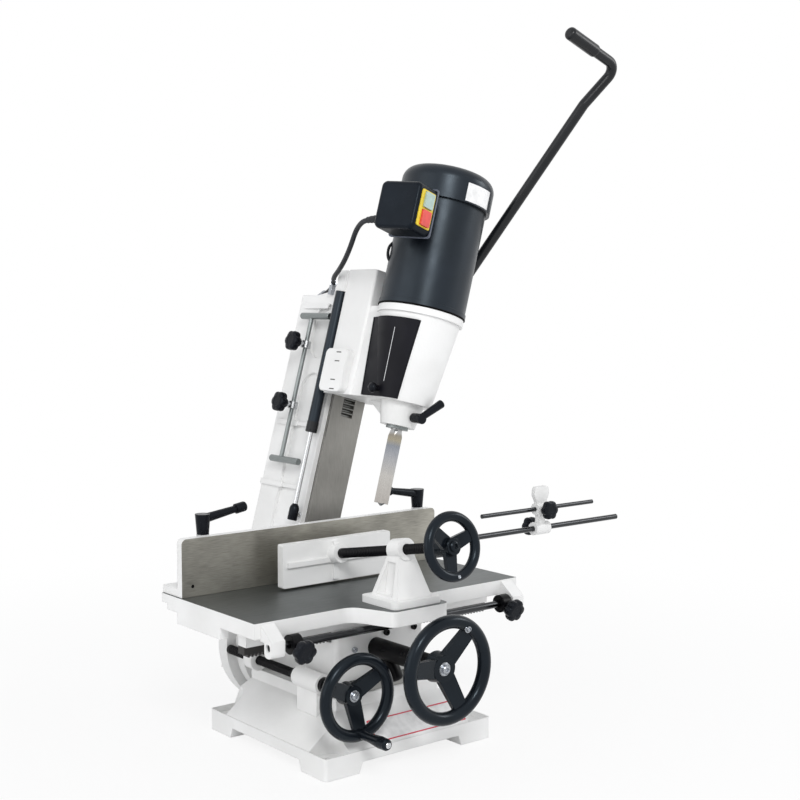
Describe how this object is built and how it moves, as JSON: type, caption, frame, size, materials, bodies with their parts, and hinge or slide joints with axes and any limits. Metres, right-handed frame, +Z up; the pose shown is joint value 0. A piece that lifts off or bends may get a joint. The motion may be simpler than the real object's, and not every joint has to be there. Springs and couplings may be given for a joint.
{
  "type": "hollow chisel mortiser",
  "caption": "Bench mortiser with a tilting dovetail column, square hollow chisel head, motor, feed lever, cross-slide table, fence and screw vise.",
  "frame": {"origin": "middle of the four bench bolts, on the plane the feet stand on", "axes": "+Z up, -Y towards the operator, +X to the operator's right along the fence"},
  "size_m": [0.968, 0.5786, 1.1072],
  "materials": {
    "white_casting": "semi-gloss enamel",
    "ground_iron": "ground",
    "black_enamel": "gloss",
    "black_oxide": "black oxide",
    "black_plastic": "gloss",
    "steel": "turned",
    "chrome": "polished",
    "chisel_steel": "ground",
    "red_button": "gloss",
    "green_button": "gloss",
    "cord_rubber": "matt"
  },
  "bodies": {
    "base": {"base_casting": "white_casting", "cross_screw_bracket": "white_casting", "tilt_pivot_pin": "steel", "tilt_clamp_bolts": "steel"},
    "cross_screw": {"cross_screw": "black_oxide", "cross_wheel": "black_plastic"},
    "cross_handle": {"cross_wheel_handle": "black_plastic"},
    "saddle": {"saddle": "white_casting", "saddle_gibs": "ground_iron", "pinion_sleeve": "black_oxide"},
    "table": {"table": "white_casting", "table_rack": "black_oxide", "table_stop_rod": "black_oxide", "vise_bracket": "white_casting", "fence_clamp_studs": "steel"},
    "table_wheel": {"table_pinion_shaft": "steel", "table_wheel": "black_plastic"},
    "fence": {"fence": "white_casting", "work_stop_rod": "black_oxide"},
    "fence_lever_left": {"fence_lever_left": "black_plastic"},
    "fence_lever_right": {"fence_lever_right": "black_plastic"},
    "vise_jaw": {"vise_plate": "white_casting"},
    "vise_screw": {"vise_screw": "black_oxide", "vise_wheel": "black_plastic"},
    "stop_collar_left": {"stop_collar_left": "black_oxide"},
    "stop_collar_right": {"stop_collar_right": "black_oxide"},
    "stop_knob_left": {"stop_knob_left": "black_plastic"},
    "stop_knob_right": {"stop_knob_right": "black_plastic"},
    "stop_bracket": {"stop_bracket": "white_casting"},
    "stop_finger_rod": {"stop_finger_rod": "black_oxide"},
    "stop_finger_knob": {"stop_finger_knob": "black_plastic"},
    "stop_bracket_knob": {"stop_bracket_knob": "black_plastic"},
    "column": {"column": "white_casting", "column_rack": "steel", "depth_stop_rod": "steel", "depth_stop_bars": "steel", "strut_rod": "chrome", "cord_clip": "black_plastic", "power_cord": "cord_rubber"},
    "depth_collar_upper": {"depth_collar_upper": "steel"},
    "depth_collar_lower": {"depth_collar_lower": "steel"},
    "depth_knob_upper": {"depth_knob_upper": "black_plastic"},
    "depth_knob_lower": {"depth_knob_lower": "black_plastic"},
    "head": {"head_casting": "white_casting", "head_gib": "ground_iron", "strut_cylinder": "black_enamel", "motor_body": "black_enamel", "fan_cowl": "black_enamel", "switch_box": "black_plastic", "chisel_bush": "steel", "hollow_chisel": "chisel_steel"},
    "spindle": {"motor_rotor": "steel", "drill_chuck": "steel", "auger_bit": "steel"},
    "feed_lever": {"feed_pinion_shaft": "steel", "feed_lever": "black_oxide"},
    "chuck_door": {"chuck_door": "black_enamel"},
    "start_button": {"start_button": "green_button"},
    "stop_button": {"stop_button": "red_button"},
    "chisel_clamp_lever": {"chisel_clamp_lever": "black_plastic"}
  },
  "joints": [
    {"name": "column_tilt", "type": "hinge", "parent": "base", "child": "column", "pos_m": [0, 0.186, 0.118], "axis": [0, 1, 0], "range_deg": [-50.4, 19.6]},
    {"name": "head_slide", "type": "slide", "parent": "column", "child": "head", "axis": [0.2656, 0, 0.9641], "range_m": [-0.08, 0], "deforming": ["power_cord"]},
    {"name": "feed_lever_swing", "type": "hinge", "parent": "head", "child": "feed_lever", "pos_m": [0.12826, 0.099, 0.58366], "axis": [0.9641, 0, -0.2656], "range_deg": [0, 101.96]},
    {"name": "spindle_spin", "type": "hinge", "parent": "head", "child": "spindle", "pos_m": [0.13278, 0.002, 0.60005], "axis": [0.2656, 0, 0.9641], "continuous": true},
    {"name": "chuck_door_swing", "type": "hinge", "parent": "head", "child": "chuck_door", "pos_m": [0.09104, 0.0485, 0.65615], "axis": [-0.21, 0, -0.9777], "range_deg": [0, 95]},
    {"name": "chisel_clamp_turn", "type": "hinge", "parent": "head", "child": "chisel_clamp_lever", "pos_m": [0.1045, -0.03, 0.49737], "axis": [0, -1, 0], "range_deg": [-100, 10]},
    {"name": "start_press", "type": "slide", "parent": "head", "child": "start_button", "axis": [-0.2495, 0.9659, 0.0687], "range_m": [0, 0.003], "stiffness_N_per_m": 1000},
    {"name": "stop_press", "type": "slide", "parent": "head", "child": "stop_button", "axis": [-0.2495, 0.9659, 0.0687], "range_m": [0, 0.003], "stiffness_N_per_m": 1000},
    {"name": "depth_stop_upper", "type": "slide", "parent": "column", "child": "depth_collar_upper", "axis": [0.2656, 0, 0.9641], "range_m": [-0.06, 0.03]},
    {"name": "depth_stop_lower", "type": "slide", "parent": "column", "child": "depth_collar_lower", "axis": [0.2656, 0, 0.9641], "range_m": [-0.07, 0.025]},
    {"name": "depth_knob_upper_turn", "type": "hinge", "parent": "depth_collar_upper", "child": "depth_knob_upper", "pos_m": [0.07835, 0.237, 0.60882], "axis": [-0.9641, 0, 0.2656], "range_deg": [-180, 180]},
    {"name": "depth_knob_lower_turn", "type": "hinge", "parent": "depth_collar_lower", "child": "depth_knob_lower", "pos_m": [0.04994, 0.237, 0.50566], "axis": [-0.9641, 0, 0.2656], "range_deg": [-180, 180]},
    {"name": "saddle_cross", "type": "slide", "parent": "base", "child": "saddle", "axis": [0, -1, 0], "range_m": [-0.005, 0.06]},
    {"name": "cross_screw_turn", "type": "hinge", "parent": "base", "child": "cross_screw", "pos_m": [-0.106, -0.1, 0.115], "axis": [0, 1, 0], "range_deg": [-451, 5401]},
    {"name": "cross_handle_spin", "type": "hinge", "parent": "cross_screw", "child": "cross_handle", "pos_m": [-0.10415, -0.2, 0.06203], "axis": [0, 1, 0], "continuous": true},
    {"name": "table_feed", "type": "slide", "parent": "saddle", "child": "table", "axis": [1, 0, 0], "range_m": [-0.1, 0.1]},
    {"name": "table_wheel_turn", "type": "hinge", "parent": "saddle", "child": "table_wheel", "pos_m": [-0.01, -0.2, 0.157], "axis": [0, 1, 0], "range_deg": [-287, 287]},
    {"name": "fence_slide", "type": "slide", "parent": "table", "child": "fence", "axis": [0, 1, 0], "range_m": [-0.025, 0.005]},
    {"name": "fence_lever_left_turn", "type": "hinge", "parent": "table", "child": "fence_lever_left", "pos_m": [-0.196, 0.112, 0.34], "axis": [0, 0, 1], "range_deg": [-90, 10]},
    {"name": "fence_lever_right_turn", "type": "hinge", "parent": "table", "child": "fence_lever_right", "pos_m": [0.233, 0.112, 0.34], "axis": [0, 0, -1], "range_deg": [-90, 10]},
    {"name": "vise_slide", "type": "slide", "parent": "table", "child": "vise_jaw", "axis": [0, 0.9833, -0.1822], "range_m": [-0.09, 0.015]},
    {"name": "vise_screw_turn", "type": "hinge", "parent": "vise_jaw", "child": "vise_screw", "pos_m": [-0.01, 0.022, 0.285], "axis": [0, 0.9833, -0.1822], "range_deg": [-8101, 1351]},
    {"name": "table_stop_left", "type": "slide", "parent": "table", "child": "stop_collar_left", "axis": [1, 0, 0], "range_m": [-0.011, 0.055]},
    {"name": "table_stop_right", "type": "slide", "parent": "table", "child": "stop_collar_right", "axis": [1, 0, 0], "range_m": [-0.095, 0.005]},
    {"name": "stop_knob_left_turn", "type": "hinge", "parent": "stop_collar_left", "child": "stop_knob_left", "pos_m": [-0.203, -0.1624, 0.20066], "axis": [0, -0.9703, -0.2419], "range_deg": [-180, 180]},
    {"name": "stop_knob_right_turn", "type": "hinge", "parent": "stop_collar_right", "child": "stop_knob_right", "pos_m": [0.197, -0.1624, 0.20066], "axis": [0, -0.9703, -0.2419], "range_deg": [-180, 180]},
    {"name": "stop_bracket_slide", "type": "slide", "parent": "fence", "child": "stop_bracket", "axis": [1, 0, 0], "range_m": [-0.08, 0.15]},
    {"name": "stop_bracket_knob_turn", "type": "hinge", "parent": "stop_bracket", "child": "stop_bracket_knob", "pos_m": [0.505, 0.11, 0.262], "axis": [0, 1, 0], "range_deg": [-180, 180]},
    {"name": "stop_finger_slide", "type": "slide", "parent": "stop_bracket", "child": "stop_finger_rod", "axis": [1, 0, 0], "range_m": [-0.03, 0.08]},
    {"name": "stop_finger_knob_turn", "type": "hinge", "parent": "stop_bracket", "child": "stop_finger_knob", "pos_m": [0.505, 0.06, 0.298], "axis": [0, -1, 0], "range_deg": [-180, 180]}
  ],
  "couplings": [
    {"joint": "feed_lever_swing", "follows": "head_slide", "rad_per_m": -22.222},
    {"joint": "cross_screw_turn", "follows": "saddle_cross", "rad_per_m": 1570.8},
    {"joint": "table_wheel_turn", "follows": "table_feed", "rad_per_m": 50},
    {"joint": "vise_screw_turn", "follows": "vise_slide", "rad_per_m": 1570.8}
  ]
}
